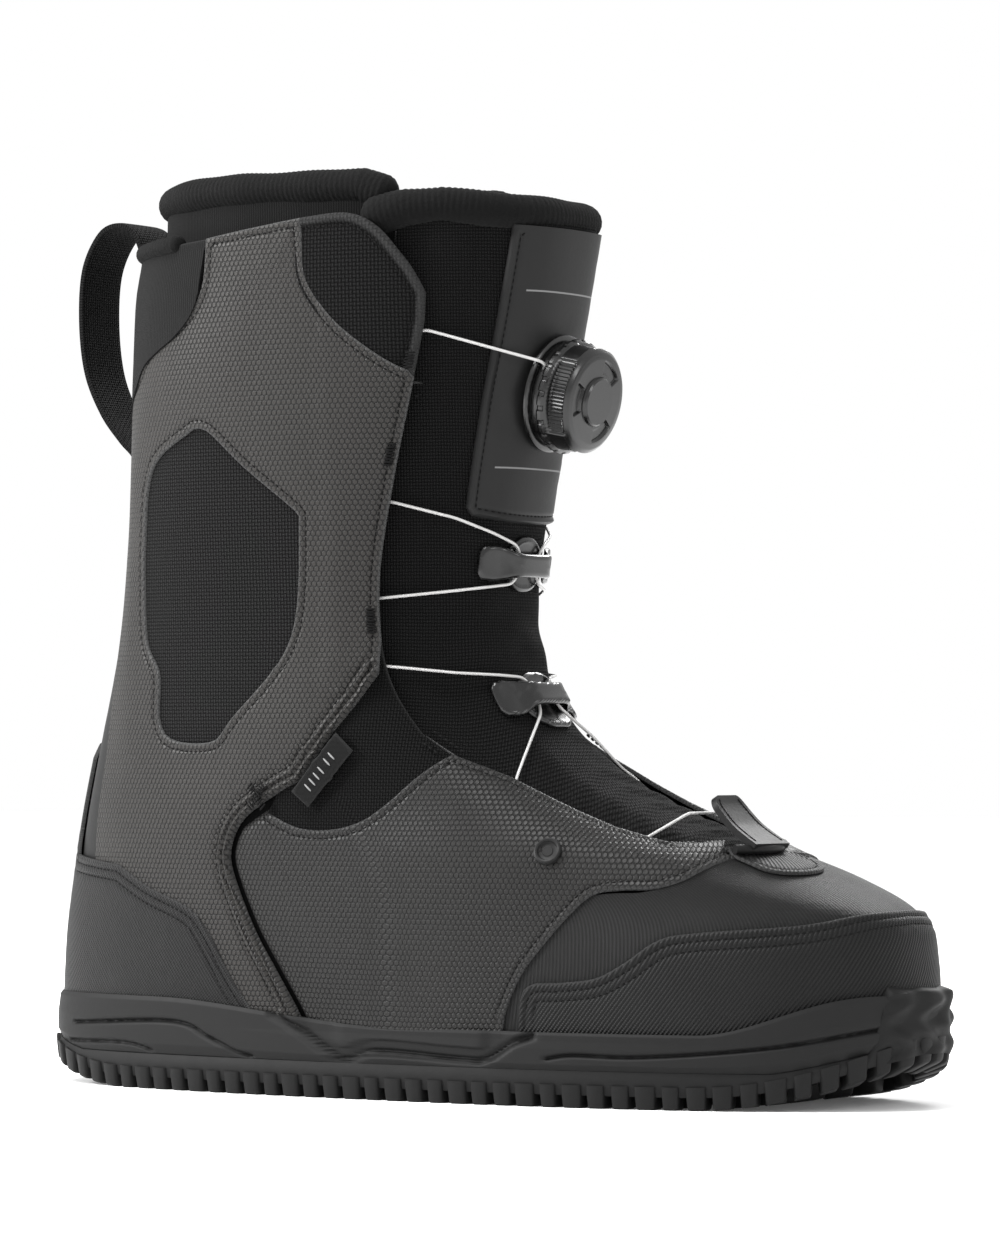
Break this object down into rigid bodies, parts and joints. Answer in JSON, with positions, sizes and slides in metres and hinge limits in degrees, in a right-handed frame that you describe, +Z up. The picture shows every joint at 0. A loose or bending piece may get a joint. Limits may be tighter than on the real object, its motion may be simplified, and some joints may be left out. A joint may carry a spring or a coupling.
{
  "type": "snowboard boot",
  "caption": "Soft snowboard boot for a right foot, with a padded liner, a folding tongue and a pull-out dial that reels in one thin lace through tongue guides.",
  "frame": {"origin": "on the ground, under the middle of the sole", "axes": "+X to the toe, +Y to the inner side of the foot, +Z up"},
  "size_m": [0.2987, 0.098, 0.2692],
  "materials": {
    "outsole_rubber": "matte",
    "foam": "matte",
    "board": "matte",
    "felt": "brushed",
    "synthetic": "embossed, matte",
    "smooth_synthetic": "fine grain, matte",
    "canvas": "woven",
    "fleece": "ribbed fleece",
    "plate_leather": "smooth, satin",
    "webbing": "woven",
    "grip_rubber": "matte",
    "lace_steel": "stranded, satin",
    "screw_steel": "polished",
    "plastic": "gloss"
  },
  "bodies": {
    "boot": {"outsole": "outsole_rubber", "midsole": "foam", "lasting_board": "board", "footbed": "felt", "upper_backing": "canvas", "quarter_lateral": "synthetic", "ankle_gusset_lateral": "canvas", "cuff_lateral": "synthetic", "ankle_patch_lateral": "canvas", "cuff_wing_lateral": "canvas", "quarter_medial": "synthetic", "ankle_gusset_medial": "canvas", "cuff_medial": "synthetic", "ankle_patch_medial": "canvas", "cuff_wing_medial": "canvas", "vamp": "smooth_synthetic", "backstay": "smooth_synthetic", "rear_collar": "canvas", "heel_counter": "smooth_synthetic", "toe_cap": "smooth_synthetic", "liner_boot": "canvas", "liner_binding": "fleece", "collar_binding": "fleece", "tongue_base": "canvas", "guide_lower_pad": "plastic", "guide_lower_bridge": "plastic", "toe_lace_tab": "plate_leather", "lace": "lace_steel", "lace_tube_upper_lateral": "plastic", "lace_tube_lower_lateral": "plastic", "lace_tube_throat_lateral": "plastic", "lace_tube_upper_medial": "plastic", "lace_tube_lower_medial": "plastic", "lace_tube_throat_medial": "plastic", "side_rivet_lateral": "grip_rubber", "side_rivet_medial": "grip_rubber", "side_label": "webbing", "pull_loop": "webbing"},
    "tongue": {"tongue_shaft": "canvas", "tongue_binding": "fleece", "tongue_plate": "plate_leather", "guide_upper_pad": "plastic", "guide_upper_bridge": "plastic", "reel_base": "plastic", "reel_housing": "plastic", "reel_screw": "screw_steel"},
    "dial": {"drive_disc": "plastic", "reel_spool": "plastic"},
    "knob": {"knob_shell": "plastic", "knob_grip": "grip_rubber", "knob_cap": "plastic"}
  },
  "joints": [
    {"name": "tongue_fold", "type": "hinge", "parent": "boot", "child": "tongue", "pos_m": [0.0145, 0, 0.131], "axis": [0, 1, 0], "range_deg": [0, 30], "deforming": ["lace"]},
    {"name": "dial_spin", "type": "hinge", "parent": "tongue", "child": "dial", "pos_m": [0.02509, 0, 0.205], "axis": [0.9787, 0, -0.2053], "continuous": true},
    {"name": "knob_pull", "type": "slide", "parent": "dial", "child": "knob", "axis": [0.9787, 0, -0.2053], "range_m": [0, 0.003]}
  ]
}
